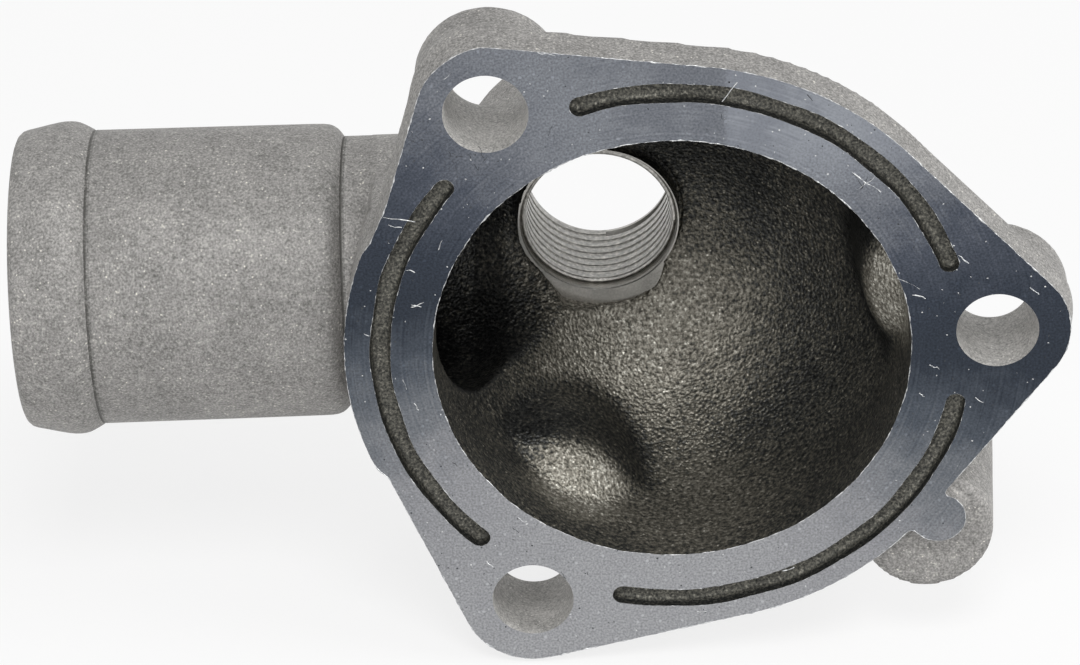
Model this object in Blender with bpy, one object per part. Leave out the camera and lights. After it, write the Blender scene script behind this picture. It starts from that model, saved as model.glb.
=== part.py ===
"""Engine coolant outlet housing with a three-bolt flange, one aluminium casting.

The flange face is the plane Y = 0 and looks along -Y. The origin is the centre of its bore.
The dome that covers the valve rises behind the flange, along +Y. The hose neck leaves to the
left, along -X, and droops a little. A threaded sensor boss stands on the back of the dome.
"""

import math

import bmesh
import bpy
from mathutils import Vector

MM = 0.001

# Flange: a round plate with three bolt lugs, machined flat on its face.
BORE_RADIUS = 26.3 * MM
PLATE_RADIUS = 35.3 * MM
PLATE_THICKNESS = 5.0 * MM
PLATE_DRAFT = 0.25 * MM
PLATE_BACK_ROUNDING = 0.5 * MM
BOLT_CIRCLE_RADIUS = 35.75 * MM
BOLT_COUNT = 3
FIRST_BOLT_ANGLE = math.radians(4.5)
BOLT_HOLE_RADIUS = 4.5 * MM
LUG_RADIUS = 8.0 * MM
BOSS_DEPTH = 11.0 * MM
BOSS_DRAFT = 0.1 * MM
BOSS_ROUNDING = 1.6 * MM

# Three kidney-shaped relief grooves, cast into the face between the bolts.
GROOVE_RADIUS = 31.85 * MM
GROOVE_WIDTH = 1.9 * MM
GROOVE_DEPTH = 1.6 * MM
GROOVE_SPAN = math.radians(87.0)

# Dome: a short round wall that ends in a half ball.
DOME_CENTRE_DEPTH = 8.0 * MM
CAVITY_RADIUS = 26.1 * MM
DOME_WALL = 3.9 * MM

# Socket clearance behind each bolt, which bulges into the cavity.
POCKET_RADIUS = 9.6 * MM
POCKET_FLARE = 1.4 * MM
POCKET_WALL = 4.8 * MM
BULGE_FRONT_DEPTH = 8.0 * MM
BULGE_NOSE_LENGTH = 7.0 * MM
BULGE_NOSE_SHRINK = 6.6 * MM

# Hose neck, with its stop bead, its shoulder and the thinner root that meets the dome.
NECK_AXIS_DEPTH = 21.2 * MM
NECK_DROOP = math.radians(2.1)
NECK_RADIUS = 16.6 * MM
NECK_DRAFT = 0.2 * MM
NECK_BORE_RADIUS = 12.4 * MM
NECK_END = 73.1 * MM
NECK_SHOULDER = 36.5 * MM
SHOULDER_ROUNDING = 2.4 * MM
BEAD_HEIGHT = 1.3 * MM
BEAD_WIDTH = 7.0 * MM
BEAD_TO_END = 1.0 * MM
END_ROUNDING = 0.8 * MM
ROOT_RADIUS = 15.1 * MM
ROOT_PAD_RADIUS = 35.7 * MM
ROOT_PAD_INSET = 0.25 * MM
PASSAGE_MOUTH_RADIUS = 14.2 * MM
PASSAGE_BALL_OFFSET = 12.0 * MM
PASSAGE_TAPER_START = 20.0 * MM
PASSAGE_TAPER_END = 40.0 * MM

# Threaded boss for the temperature sensor, on the back of the dome.
SENSOR_X = -7.8 * MM
SENSOR_Z = -0.7 * MM
SENSOR_HOLE_RADIUS = 8.2 * MM
SENSOR_CHAMFER = 0.9 * MM
SENSOR_BOSS_RADIUS = 16.5 * MM
SENSOR_BOSS_END = 44.4 * MM
SENSOR_BOSS_DRAFT = 0.3 * MM
SENSOR_BOSS_ROUNDING = 1.2 * MM
SENSOR_ENTRY_RADIUS = 8.8 * MM
SENSOR_ENTRY_DEPTH = 34.6 * MM
SENSOR_FACE_RADIUS = 10.6 * MM
SENSOR_FACE_DEPTH = 31.2 * MM

# Solid side boss at the lower right, and the small machined tab on its end.
SIDE_BOSS_X = 29.4 * MM
SIDE_BOSS_Z = -24.4 * MM
SIDE_BOSS_RADIUS = 7.4 * MM
SIDE_BOSS_FRONT = 2.0 * MM
SIDE_BOSS_LENGTH = 22.0 * MM
SIDE_BOSS_DRAFT = 0.5 * MM
SIDE_WEB_WIDTH = 9.0 * MM
TAB_X = 30.0 * MM
TAB_Z = -21.4 * MM
TAB_RADIUS = 3.05 * MM

# How far a joined form reaches into its neighbour, and a cutter past the wall.
OVERLAP = 1.5 * MM
RUN_OUT = 4.0 * MM

FULL_TURN = 2.0 * math.pi
QUARTER = 0.5 * math.pi

dome_radius = CAVITY_RADIUS + DOME_WALL
bolt_angles = [FIRST_BOLT_ANGLE + i * FULL_TURN / BOLT_COUNT for i in range(BOLT_COUNT)]
neck_direction = Vector((-math.cos(NECK_DROOP), 0.0, -math.sin(NECK_DROOP)))
neck_origin = Vector((0.0, NECK_AXIS_DEPTH, 0.0))


def clear_scene():
    for old in list(bpy.data.objects):
        bpy.data.objects.remove(old, do_unlink=True)


def polar(radius, angle):
    return radius * math.cos(angle), radius * math.sin(angle)


def arc(centre, radius, start, end, steps):
    """Points from angle start to angle end round a centre, both ends included."""
    points = []
    for i in range(steps + 1):
        x, z = polar(radius, start + (end - start) * i / steps)
        points.append((centre[0] + x, centre[1] + z))
    return points


def new_object(name, mesh_data):
    mesh = bpy.data.meshes.new(name)
    mesh_data.to_mesh(mesh)
    mesh_data.free()
    made = bpy.data.objects.new(name, mesh)
    bpy.context.scene.collection.objects.link(made)
    return made


def turned(name, profile, origin, direction, segments):
    """A solid turned round an axis. The profile lists (distance along the axis, radius)."""
    work = bmesh.new()
    across = direction.orthogonal().normalized()
    beside = direction.cross(across).normalized()
    rings = []
    for along, radius in profile:
        centre = origin + direction * along
        ring = []
        for i in range(segments):
            u, v = polar(radius, FULL_TURN * i / segments)
            ring.append(work.verts.new(centre + across * u + beside * v))
        rings.append(ring)
    for ring, following in zip(rings, rings[1:]):
        for i in range(segments):
            j = (i + 1) % segments
            work.faces.new((ring[i], ring[j], following[j], following[i]))
    work.faces.new(reversed(rings[0]))
    work.faces.new(rings[-1])
    bmesh.ops.recalc_face_normals(work, faces=work.faces)
    return new_object(name, work)


def prism(name, outline, levels):
    """A solid on a flat outline in X and Z. Each level is (Y, outward growth of the outline)."""
    work = bmesh.new()
    count = len(outline)
    normals = []
    for i in range(count):
        before = Vector(outline[i - 1])
        after = Vector(outline[(i + 1) % count])
        along = (after - before).normalized()
        normals.append(Vector((along.y, -along.x)))
    rings = []
    for y, growth in levels:
        ring = []
        for point, normal in zip(outline, normals):
            ring.append(work.verts.new((point[0] + normal.x * growth, y, point[1] + normal.y * growth)))
        rings.append(ring)
    for ring, following in zip(rings, rings[1:]):
        for i in range(count):
            j = (i + 1) % count
            work.faces.new((ring[i], ring[j], following[j], following[i]))
    work.faces.new(rings[0])
    work.faces.new(reversed(rings[-1]))
    bmesh.ops.recalc_face_normals(work, faces=work.faces)
    return new_object(name, work)


def rounded_edge(height, width, steps):
    """Offsets of a quarter round from its start on the side to its end on the face."""
    return [
        (height * math.sin(QUARTER * i / steps), width * (1.0 - math.cos(QUARTER * i / steps)))
        for i in range(steps + 1)
    ]


def plate_outline():
    """Round plate and bolt lugs, joined by straight lines that touch both circles."""
    reach = math.acos((PLATE_RADIUS - LUG_RADIUS) / BOLT_CIRCLE_RADIUS)
    points = []
    for i, angle in enumerate(bolt_angles):
        centre = polar(BOLT_CIRCLE_RADIUS, angle)
        points += arc(centre, LUG_RADIUS, angle - reach, angle + reach, 14)
        following = angle + FULL_TURN / BOLT_COUNT
        points += arc((0.0, 0.0), PLATE_RADIUS, angle + reach, following - reach, 10)
    return points


def flange_plate():
    levels = [(0.0, 0.0)]
    flat = PLATE_THICKNESS - PLATE_BACK_ROUNDING
    for rise, inset in rounded_edge(PLATE_BACK_ROUNDING, PLATE_BACK_ROUNDING, 2):
        levels.append((flat + rise, PLATE_DRAFT - inset))
    return prism("plate_form", plate_outline(), levels)


def round_boss(name, x, z, radius, front, end, draft, rounding, segments):
    """A boss along Y that grows by its draft towards the end and has a rounded end edge."""
    widest = radius + draft
    profile = [(front, radius), (end - rounding, widest)]
    for rise, inset in rounded_edge(rounding, rounding, 4)[1:]:
        profile.append((end - rounding + rise, widest - inset))
    return turned(name, profile, Vector((x, 0.0, z)), Vector((0.0, 1.0, 0.0)), segments)


def bolt_bosses():
    made = []
    for i, angle in enumerate(bolt_angles):
        x, z = polar(BOLT_CIRCLE_RADIUS, angle)
        name = f"bolt_boss_form_{i + 1}"
        front = 0.2 * PLATE_THICKNESS
        made.append(
            round_boss(name, x, z, LUG_RADIUS, front, BOSS_DEPTH, BOSS_DRAFT, BOSS_ROUNDING, 32)
        )
    return made


def ball_profile(radius, start_depth, steps):
    """Round wall from start_depth, then a half ball centred at DOME_CENTRE_DEPTH."""
    profile = [(start_depth, radius)]
    last = 0.985 * QUARTER
    for i in range(steps + 1):
        angle = last * i / steps
        profile.append((DOME_CENTRE_DEPTH + radius * math.sin(angle), radius * math.cos(angle)))
    return profile


def dome_shell():
    profile = ball_profile(dome_radius, 0.5 * PLATE_THICKNESS, 12)
    return turned("dome_form", profile, Vector(), Vector((0.0, 1.0, 0.0)), 56)


def neck_body():
    """Root, rounded shoulder, plain hose seat, stop bead and rounded end, turned as one."""
    corner_radius = NECK_RADIUS + NECK_DRAFT - SHOULDER_ROUNDING
    climb = max(0.0, min(1.0, (ROOT_RADIUS - corner_radius) / SHOULDER_ROUNDING))
    start = math.asin(climb)
    corner_centre = NECK_SHOULDER + SHOULDER_ROUNDING
    profile = [(0.3 * NECK_SHOULDER, ROOT_RADIUS)]
    for i in range(5):
        angle = start + (QUARTER - start) * i / 4
        profile.append(
            (
                corner_centre - SHOULDER_ROUNDING * math.cos(angle),
                corner_radius + SHOULDER_ROUNDING * math.sin(angle),
            )
        )
    bead_end = NECK_END - BEAD_TO_END
    bead_steps = 8
    for i in range(bead_steps + 1):
        share = i / bead_steps
        lift = math.sin(0.93 * math.pi * share ** 0.7)
        profile.append((bead_end - BEAD_WIDTH * (1.0 - share), NECK_RADIUS + BEAD_HEIGHT * lift))
    end_radius = profile[-1][1]
    for rise, inset in rounded_edge(END_ROUNDING, END_ROUNDING, 3):
        profile.append((NECK_END - END_ROUNDING + rise, end_radius - inset))
    return turned("neck_form", profile, neck_origin, neck_direction, 48)


def root_pad():
    """Fills the space between plate and neck root, nearly as wide, with a round left end."""
    half_width = ROOT_RADIUS - ROOT_PAD_INSET
    half_angle = math.asin(half_width / ROOT_PAD_RADIUS)
    turn = math.pi + NECK_DROOP
    points = arc((0.0, 0.0), ROOT_PAD_RADIUS, turn - half_angle, turn + half_angle, 10)
    inner = 0.45 * ROOT_PAD_RADIUS
    for side in (1.0, -1.0):
        along = neck_direction * inner
        lift = side * -half_width
        points.append(
            (along.x - math.sin(NECK_DROOP) * lift, along.z + math.cos(NECK_DROOP) * lift)
        )
    return prism("root_pad_form", points, [(0.0, 0.0), (NECK_AXIS_DEPTH, 0.0)])


def sensor_boss():
    front = DOME_CENTRE_DEPTH + 0.5 * CAVITY_RADIUS
    return round_boss(
        "sensor_boss_form", SENSOR_X, SENSOR_Z, SENSOR_BOSS_RADIUS + SENSOR_BOSS_DRAFT,
        front, SENSOR_BOSS_END, -SENSOR_BOSS_DRAFT, SENSOR_BOSS_ROUNDING, 48,
    )


def side_boss():
    end = SIDE_BOSS_FRONT + SIDE_BOSS_LENGTH
    return round_boss(
        "side_boss_form", SIDE_BOSS_X, SIDE_BOSS_Z, SIDE_BOSS_RADIUS,
        SIDE_BOSS_FRONT, end, SIDE_BOSS_DRAFT, BOSS_ROUNDING, 36,
    )


def side_web():
    """Web that ties the side boss to the dome over most of its length."""
    boss = Vector((SIDE_BOSS_X, SIDE_BOSS_Z))
    outward = boss.normalized()
    across = Vector((-outward.y, outward.x)) * 0.5 * SIDE_WEB_WIDTH
    inner = outward * (CAVITY_RADIUS * 0.72)
    points = [inner - across, boss - across, boss + across, inner + across]
    start = SIDE_BOSS_FRONT + OVERLAP
    end = SIDE_BOSS_FRONT + SIDE_BOSS_LENGTH - 2.0 * BOSS_ROUNDING
    return prism("side_web_form", [tuple(p) for p in points], [(start, 0.0), (end, 0.0)])


def face_tab():
    profile = [(0.0, TAB_RADIUS), (SIDE_BOSS_FRONT + OVERLAP, TAB_RADIUS)]
    return turned("tab_form", profile, Vector((TAB_X, 0.0, TAB_Z)), Vector((0.0, 1.0, 0.0)), 24)


def bulges():
    """Walls of the socket pockets where they stand into the cavity, with sloping noses."""
    made = []
    wall_radius = POCKET_RADIUS + POCKET_WALL
    back = DOME_CENTRE_DEPTH + CAVITY_RADIUS
    nose_end = BULGE_FRONT_DEPTH + BULGE_NOSE_LENGTH
    for i, angle in enumerate(bolt_angles):
        x, z = polar(BOLT_CIRCLE_RADIUS, angle)
        profile = [(BULGE_FRONT_DEPTH, wall_radius - BULGE_NOSE_SHRINK)]
        for step in range(1, 6):
            turn = QUARTER * step / 5
            along = BULGE_FRONT_DEPTH + BULGE_NOSE_LENGTH * (1.0 - math.cos(turn))
            profile.append((along, wall_radius - BULGE_NOSE_SHRINK * (1.0 - math.sin(turn))))
        profile.append((back, wall_radius + POCKET_FLARE * (back - nose_end) / (back - BOSS_DEPTH)))
        made.append(
            turned(f"bulge_form_{i + 1}", profile, Vector((x, 0.0, z)), Vector((0.0, 1.0, 0.0)), 40)
        )
    return made


def cavity_hollow():
    profile = ball_profile(CAVITY_RADIUS, -RUN_OUT, 12)
    profile[0] = (-RUN_OUT, BORE_RADIUS)
    return turned("cavity_hollow", profile, Vector(), Vector((0.0, 1.0, 0.0)), 64)


def passage_hollow():
    """Bore of the neck, which widens towards the cavity and ends there in a half ball."""
    profile = []
    last = 0.97 * QUARTER
    for i in range(7):
        angle = last * (6 - i) / 6
        along = PASSAGE_BALL_OFFSET - PASSAGE_MOUTH_RADIUS * math.sin(angle)
        radius = PASSAGE_MOUTH_RADIUS * math.cos(angle)
        profile.append((along, radius))
    profile.append((PASSAGE_TAPER_START, PASSAGE_MOUTH_RADIUS))
    profile.append((PASSAGE_TAPER_END, NECK_BORE_RADIUS))
    profile.append((NECK_END + RUN_OUT, NECK_BORE_RADIUS))
    return turned("passage_hollow", profile, neck_origin, neck_direction, 44)


def sensor_hole():
    """Tapping hole, a little wider where it enters the cavity and chamfered outside."""
    profile = [
        (SENSOR_FACE_DEPTH - RUN_OUT, SENSOR_ENTRY_RADIUS),
        (SENSOR_ENTRY_DEPTH, SENSOR_ENTRY_RADIUS),
        (SENSOR_ENTRY_DEPTH + SENSOR_ENTRY_RADIUS - SENSOR_HOLE_RADIUS, SENSOR_HOLE_RADIUS),
        (SENSOR_BOSS_END - SENSOR_CHAMFER, SENSOR_HOLE_RADIUS),
        (SENSOR_BOSS_END, SENSOR_HOLE_RADIUS + SENSOR_CHAMFER),
        (SENSOR_BOSS_END + RUN_OUT, SENSOR_HOLE_RADIUS + SENSOR_CHAMFER),
    ]
    origin = Vector((SENSOR_X, 0.0, SENSOR_Z))
    return turned("sensor_hole", profile, origin, Vector((0.0, 1.0, 0.0)), 48)


def sensor_spot_face():
    """Flat ring round the inner end of the sensor hole."""
    profile = [
        (SENSOR_FACE_DEPTH - RUN_OUT, SENSOR_FACE_RADIUS),
        (SENSOR_FACE_DEPTH, SENSOR_FACE_RADIUS),
    ]
    origin = Vector((SENSOR_X, 0.0, SENSOR_Z))
    return turned("sensor_spot_face", profile, origin, Vector((0.0, 1.0, 0.0)), 48)


def bolt_holes():
    made = []
    for i, angle in enumerate(bolt_angles):
        x, z = polar(BOLT_CIRCLE_RADIUS, angle)
        profile = [(-RUN_OUT, BOLT_HOLE_RADIUS), (BOSS_DEPTH + RUN_OUT, BOLT_HOLE_RADIUS)]
        made.append(
            turned(f"bolt_hole_{i + 1}", profile, Vector((x, 0.0, z)), Vector((0.0, 1.0, 0.0)), 32)
        )
    return made


def socket_pockets():
    made = []
    back = SENSOR_BOSS_END + RUN_OUT
    for i, angle in enumerate(bolt_angles):
        x, z = polar(BOLT_CIRCLE_RADIUS, angle)
        flare = POCKET_FLARE * (back - BOSS_DEPTH) / (DOME_CENTRE_DEPTH + CAVITY_RADIUS - BOSS_DEPTH)
        profile = [(BOSS_DEPTH, POCKET_RADIUS), (back, POCKET_RADIUS + flare)]
        made.append(
            turned(f"socket_pocket_{i + 1}", profile, Vector((x, 0.0, z)), Vector((0.0, 1.0, 0.0)), 40)
        )
    return made


def grooves():
    """Each groove follows an arc between two bolts and has round ends."""
    made = []
    half_width = 0.5 * GROOVE_WIDTH
    for i, angle in enumerate(bolt_angles):
        middle = angle + 0.5 * FULL_TURN / BOLT_COUNT
        start, end = middle - 0.5 * GROOVE_SPAN, middle + 0.5 * GROOVE_SPAN
        outer = arc((0.0, 0.0), GROOVE_RADIUS + half_width, start, end, 20)
        inner = arc((0.0, 0.0), GROOVE_RADIUS - half_width, end, start, 20)
        end_cap = arc(polar(GROOVE_RADIUS, end), half_width, end, end + math.pi, 6)[1:-1]
        start_cap = arc(polar(GROOVE_RADIUS, start), half_width, start + math.pi, start + FULL_TURN, 6)
        outline = outer + end_cap + inner + start_cap[1:-1]
        levels = [(-RUN_OUT, 0.0), (GROOVE_DEPTH, 0.0)]
        made.append(prism(f"groove_{i + 1}", outline, levels))
    return made


def helper(made, collection):
    """Keeps a form or a cutter as a hidden wire object in its own collection."""
    made.hide_render = True
    made.display_type = "WIRE"
    for old in list(made.users_collection):
        old.objects.unlink(made)
    collection.objects.link(made)


def hidden_collection(name, members):
    collection = bpy.data.collections.new(name)
    bpy.context.scene.collection.children.link(collection)
    collection.hide_render = True
    for made in members:
        helper(made, collection)
    return collection


def add_boolean(target, name, operation, collection):
    step = target.modifiers.new(name, "BOOLEAN")
    step.operation = operation
    step.solver = "EXACT"
    step.operand_type = "COLLECTION"
    step.collection = collection


def cast_material():
    made = bpy.data.materials.new("cast_aluminium")
    made.use_nodes = True
    shader = made.node_tree.nodes["Principled BSDF"]
    shader.inputs["Base Color"].default_value = (0.33, 0.32, 0.31, 1.0)
    shader.inputs["Metallic"].default_value = 0.75
    shader.inputs["Roughness"].default_value = 0.55
    made.diffuse_color = (0.33, 0.32, 0.31, 1.0)
    return made


def build():
    clear_scene()
    casting = flange_plate()
    casting.name = "housing_casting"
    casting.data.name = "housing_casting"
    forms = [dome_shell(), neck_body(), root_pad(), sensor_boss(), side_boss(), side_web(), face_tab()]
    forms += bolt_bosses()
    outer_forms = hidden_collection("outer_forms", forms)
    add_boolean(casting, "Join outer forms", "UNION", outer_forms)

    cavity = cavity_hollow()
    bulge_walls = hidden_collection("bulge_walls", bulges())
    add_boolean(cavity, "Leave bulge walls", "DIFFERENCE", bulge_walls)
    hollows = [cavity, passage_hollow(), sensor_spot_face(), sensor_hole()]
    hollows += bolt_holes() + socket_pockets() + grooves()
    for i, made in enumerate(hollows):
        cut = hidden_collection(f"hollow_{i + 1}", [made])
        add_boolean(casting, f"Cut {made.name}", "DIFFERENCE", cut)

    casting.data.materials.append(cast_material())
    casting.data.shade_smooth()
    casting.data.set_sharp_from_angle(angle=math.radians(30.0))


build()
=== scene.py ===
"""Thermostat housing: a cast aluminium coolant outlet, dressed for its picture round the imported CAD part."""

import math

import bmesh
import bpy
import numpy as np
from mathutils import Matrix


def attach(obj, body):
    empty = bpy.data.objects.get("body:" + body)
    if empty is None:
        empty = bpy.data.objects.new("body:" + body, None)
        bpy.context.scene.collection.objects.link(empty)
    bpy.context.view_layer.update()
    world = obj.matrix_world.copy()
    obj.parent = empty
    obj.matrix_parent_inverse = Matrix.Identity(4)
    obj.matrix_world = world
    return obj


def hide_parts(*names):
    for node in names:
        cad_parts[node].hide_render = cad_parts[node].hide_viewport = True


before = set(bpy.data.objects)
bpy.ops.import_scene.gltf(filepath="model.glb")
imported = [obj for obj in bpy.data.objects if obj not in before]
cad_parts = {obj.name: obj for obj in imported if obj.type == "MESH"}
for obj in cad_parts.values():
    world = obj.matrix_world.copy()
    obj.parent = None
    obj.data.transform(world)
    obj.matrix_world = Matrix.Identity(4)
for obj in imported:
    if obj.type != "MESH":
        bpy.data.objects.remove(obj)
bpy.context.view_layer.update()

import openvdb
from mathutils import Matrix, Vector

# 1. The raw casting: plate, dome, hose neck and bosses in one pour.
# The real piece is gravity-cast aluminium from a metal mould with a sand core. Every inside corner
# has a fillet and every outside edge is soft, so the form is a field of distances, in millimetres,
# that is turned into a skin. It stands a millimetre proud where the flange will be milled.
MM = 0.001
VOXEL = 0.6
FIELD_START = (-76.4, -3.0, -44.2)
FIELD_END = (46.6, 47.6, 41.4)
FIELD_REACH = 3.0
STOCK = 1.0
PLATE_RADIUS = 35.3
PLATE_THICKNESS = 5.0
PLATE_FILLET = 2.2
BACK_SHIFT = 0.25
BOLT_CIRCLE = 35.75
LUG_RADIUS = 8.0
BOSS_DEPTH = 11.0
DOME_CENTRE = 8.0
DOME_RADIUS = 30.0
CAVITY_RADIUS = 26.1
POCKET_RADIUS = 9.6
POCKET_FLARE = 1.4
NOSE_START = 6.3
NOSE_DEPTHS = [NOSE_START, 8.0, 10.3, 11.4, 12.2, 13.0, 14.2, 34.1]
NOSE_RADII = [8.0, 9.7, 12.0, 13.1, 13.7, 14.1, 14.35, 15.8]
NECK_DEPTH = 21.2
NECK_DROOP = math.radians(2.1)
NECK_START = 11.0
NECK_END = 73.25
NECK_STOCK = 0.4
ROOT_RADIUS = 15.1
PAD_RADIUS = 35.65
PAD_START = 14.0
PASSAGE_START = 12.0
PASSAGE_PLACES = [19.0, 22.5, 28.0, 40.0]
PASSAGE_RADII = [12.8, 14.3, 14.0, 12.4]
PORT_X, PORT_Z = -7.95, -0.65
PORT_FACE_DEPTH = 31.2
POST_RADIUS = 9.45
FOOT_RADIUS = 10.8
FOOT_LEFT = (-0.79, -0.61, 9.35)
FOOT_RIGHT = (0.955, -0.294, 8.99)
FOOT_BELOW = 4.5
SENSOR_BOSS_RADIUS = 16.8
SENSOR_BOSS_START = 21.0
SENSOR_BOSS_END = 44.4
SIDE_X, SIDE_Z = 29.4, -24.4
SIDE_START = 2.0
SIDE_END = 24.0
SIDE_RADIUS = 7.4
SIDE_LEAN = 0.45
TAB_X, TAB_Z = 30.0, -21.4
TAB_RADIUS = 3.05
TAB_DEPTH = 3.4

bolt_angles = [math.radians(4.5 + 120.0 * i) for i in range(3)]
bolt_places = [(BOLT_CIRCLE * math.cos(a), BOLT_CIRCLE * math.sin(a)) for a in bolt_angles]


def soft_min(a, b, blend):
    """Joins two forms with a fillet about as wide as the blend."""
    share = np.clip(0.5 + 0.5 * (b - a) / blend, 0.0, 1.0)
    return b + (a - b) * share - blend * share * (1.0 - share)


def soft_max(a, b, blend):
    """Keeps what two forms share, with a rounded edge about as wide as the blend."""
    return -soft_min(-a, -b, blend)


def lugged_outline(x, z):
    """Distance from the flange's outline: a round plate drawn out to each bolt lug."""
    slope = (PLATE_RADIUS - LUG_RADIUS) / BOLT_CIRCLE
    reach = math.sqrt(1.0 - slope * slope)
    nearest = np.hypot(x, z) - PLATE_RADIUS
    for angle in bolt_angles:
        along = x * math.cos(angle) + z * math.sin(angle)
        across = np.abs(z * math.cos(angle) - x * math.sin(angle))
        place = reach * along - slope * across
        side = reach * across + slope * along - PLATE_RADIUS
        tip = np.hypot(across, along - BOLT_CIRCLE) - LUG_RADIUS
        arm = np.where(place > reach * BOLT_CIRCLE, tip, side)
        nearest = np.minimum(nearest, np.where(place < 0.0, nearest, arm))
    return nearest


def neck_places(x, y, z):
    """Distance along the drooping neck from the dome's axis, and distance out from its axis."""
    along = -(x * math.cos(NECK_DROOP) + z * math.sin(NECK_DROOP))
    across = x * math.sin(NECK_DROOP) - z * math.cos(NECK_DROOP)
    return along, across, np.hypot(across, y - NECK_DEPTH)


# The neck's outside, as (distance from the dome's axis, radius): root, hose seat, bead and rounded end.
NECK_PROFILE = [
    (0.0, 15.1), (36.15, 15.1), (36.35, 14.98), (36.5, 15.25), (36.8, 15.65), (37.1, 15.97), (37.5, 16.25),
    (38.0, 16.43), (38.6, 16.51), (39.6, 16.54), (50.0, 16.6), (64.4, 16.66), (64.58, 16.56), (64.8, 16.8),
    (65.3, 17.08), (65.9, 17.4), (66.3, 17.58), (66.8, 17.7), (67.3, 17.75), (67.9, 17.74), (68.6, 17.66),
    (69.7, 17.45), (71.05, 17.15), (72.1, 16.93), (72.6, 16.76), (73.0, 16.4), (73.18, 16.0), (73.25, 15.6)]


def outside_form(x, y, z):
    """The outside of the casting, joined in the order that a pattern maker would build it up."""
    # The plate. Its rear is a little wider, and the flank over the neck was dressed back at the face.
    back = np.clip(y / PLATE_THICKNESS, 0.0, 1.0)
    moved = x - BACK_SHIFT * back
    flank = np.interp(np.degrees(np.arctan2(z, x)), [119.0, 125.0, 150.0, 157.0], [0.0, 1.0, 1.0, 0.0])
    inset = 0.55 * flank * np.clip(1.0 - y / 3.5, 0.0, 1.0)
    plate = soft_max(lugged_outline(moved, z) - 0.25 * back + inset, y - PLATE_THICKNESS, 0.6)

    # The dome and the neck. The neck's skin has stock that the steel die takes off in section 2.
    dome = np.sqrt(x * x + z * z + np.maximum(y - DOME_CENTRE, 0.0) ** 2) - DOME_RADIUS
    along, across, out = neck_places(x, y, z)
    stock = NECK_STOCK * np.clip(along - 35.4, 0.0, 1.0)
    radius = np.interp(along, *zip(*NECK_PROFILE[:-5])) + stock
    neck = np.maximum(out - radius, along - NECK_END - NECK_STOCK)
    dome = soft_min(dome, np.maximum(neck, NECK_START - along), PLATE_FILLET)
    form = soft_min(plate, dome, PLATE_FILLET)

    # The three screw bosses, then the sensor's boss on the back of the dome.
    for bolt_x, bolt_z in bolt_places:
        boss = np.hypot(moved - bolt_x, z - bolt_z) - LUG_RADIUS - 0.1 * y / BOSS_DEPTH
        form = soft_min(form, soft_max(boss, np.maximum(y - BOSS_DEPTH, 2.2 - y), 2.0), 0.9)

    draft = 0.3 * np.clip((y - SENSOR_BOSS_START) / (SENSOR_BOSS_END - SENSOR_BOSS_START), 0.0, 1.0)
    sensor = np.hypot(x - PORT_X, z - PORT_Z) - SENSOR_BOSS_RADIUS + draft
    ends = np.maximum(y - SENSOR_BOSS_END, SENSOR_BOSS_START - y)
    form = soft_min(form, soft_max(sensor, ends, 1.6), 2.6)

    # The side boss, leaning out a little, and the web that ties it to the dome.
    lean = SIDE_LEAN * (2.0 * y - SIDE_START - SIDE_END) / (SIDE_END - SIDE_START)
    side_boss = np.hypot(x - SIDE_X - lean, z - SIDE_Z) - SIDE_RADIUS
    side_boss = side_boss - 0.5 * (y - SIDE_START) / (SIDE_END - SIDE_START)
    side_boss = soft_max(soft_max(side_boss, y - SIDE_END, 2.0), SIDE_START - y, 0.7)
    span = math.hypot(SIDE_X, SIDE_Z)
    outward = (x * SIDE_X + z * SIDE_Z) / span
    sideways = np.abs(z * SIDE_X - x * SIDE_Z) / span
    web = np.maximum(np.maximum(sideways - 4.5, np.abs(y - 12.6) - 8.2), np.abs(outward - 26.5) - 7.7)
    form = soft_min(form, soft_min(side_boss, web, 1.4), 0.8)

    # Room for each screw's socket, sunk in the dome behind its lug.
    for bolt_x, bolt_z in bolt_places:
        flare = POCKET_FLARE * (y - BOSS_DEPTH) / (DOME_CENTRE + CAVITY_RADIUS - BOSS_DEPTH)
        pocket = np.maximum(np.hypot(x - bolt_x, z - bolt_z) - POCKET_RADIUS - flare, BOSS_DEPTH - y)
        form = soft_max(form, -pocket, 1.0)

    # The raised pad where the neck meets the dome, then the tab on the face.
    pad = soft_max(np.abs(across) - ROOT_RADIUS + 0.25, np.hypot(x, z) - PAD_RADIUS - 0.35, 1.6)
    pad = np.maximum(pad, np.maximum(y - NECK_DEPTH, PAD_START - along))
    form = soft_min(form, pad, 0.25)
    form = soft_min(form, face_tab(x, y, z), 0.2)
    return np.maximum(form, -STOCK - y)


def face_tab(x, y, z):
    """Small round tab, flush with the face, with a straight web down to the plate."""
    right, up = x - TAB_X, z - TAB_Z
    web = np.maximum(-0.64 * right - 0.77 * up - 3.0, 0.77 * right - 0.64 * up)
    web = np.maximum(web, np.hypot(right + 3.0, up - 0.4) - 4.0)
    return np.maximum(np.minimum(np.hypot(right, up) - TAB_RADIUS, web), y - TAB_DEPTH)


def port_post(x, z):
    """The post that the sensor port is bored in, with a crescent foot below it."""
    right, up = x - PORT_X, z - PORT_Z
    from_port = np.hypot(right, up)
    left_end, right_end = (a * right + b * up - reach for a, b, reach in (FOOT_LEFT, FOOT_RIGHT))
    foot = np.maximum(np.maximum(from_port - FOOT_RADIUS, up + FOOT_BELOW), np.maximum(left_end, right_end))
    return np.minimum(from_port - POST_RADIUS, foot)


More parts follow.
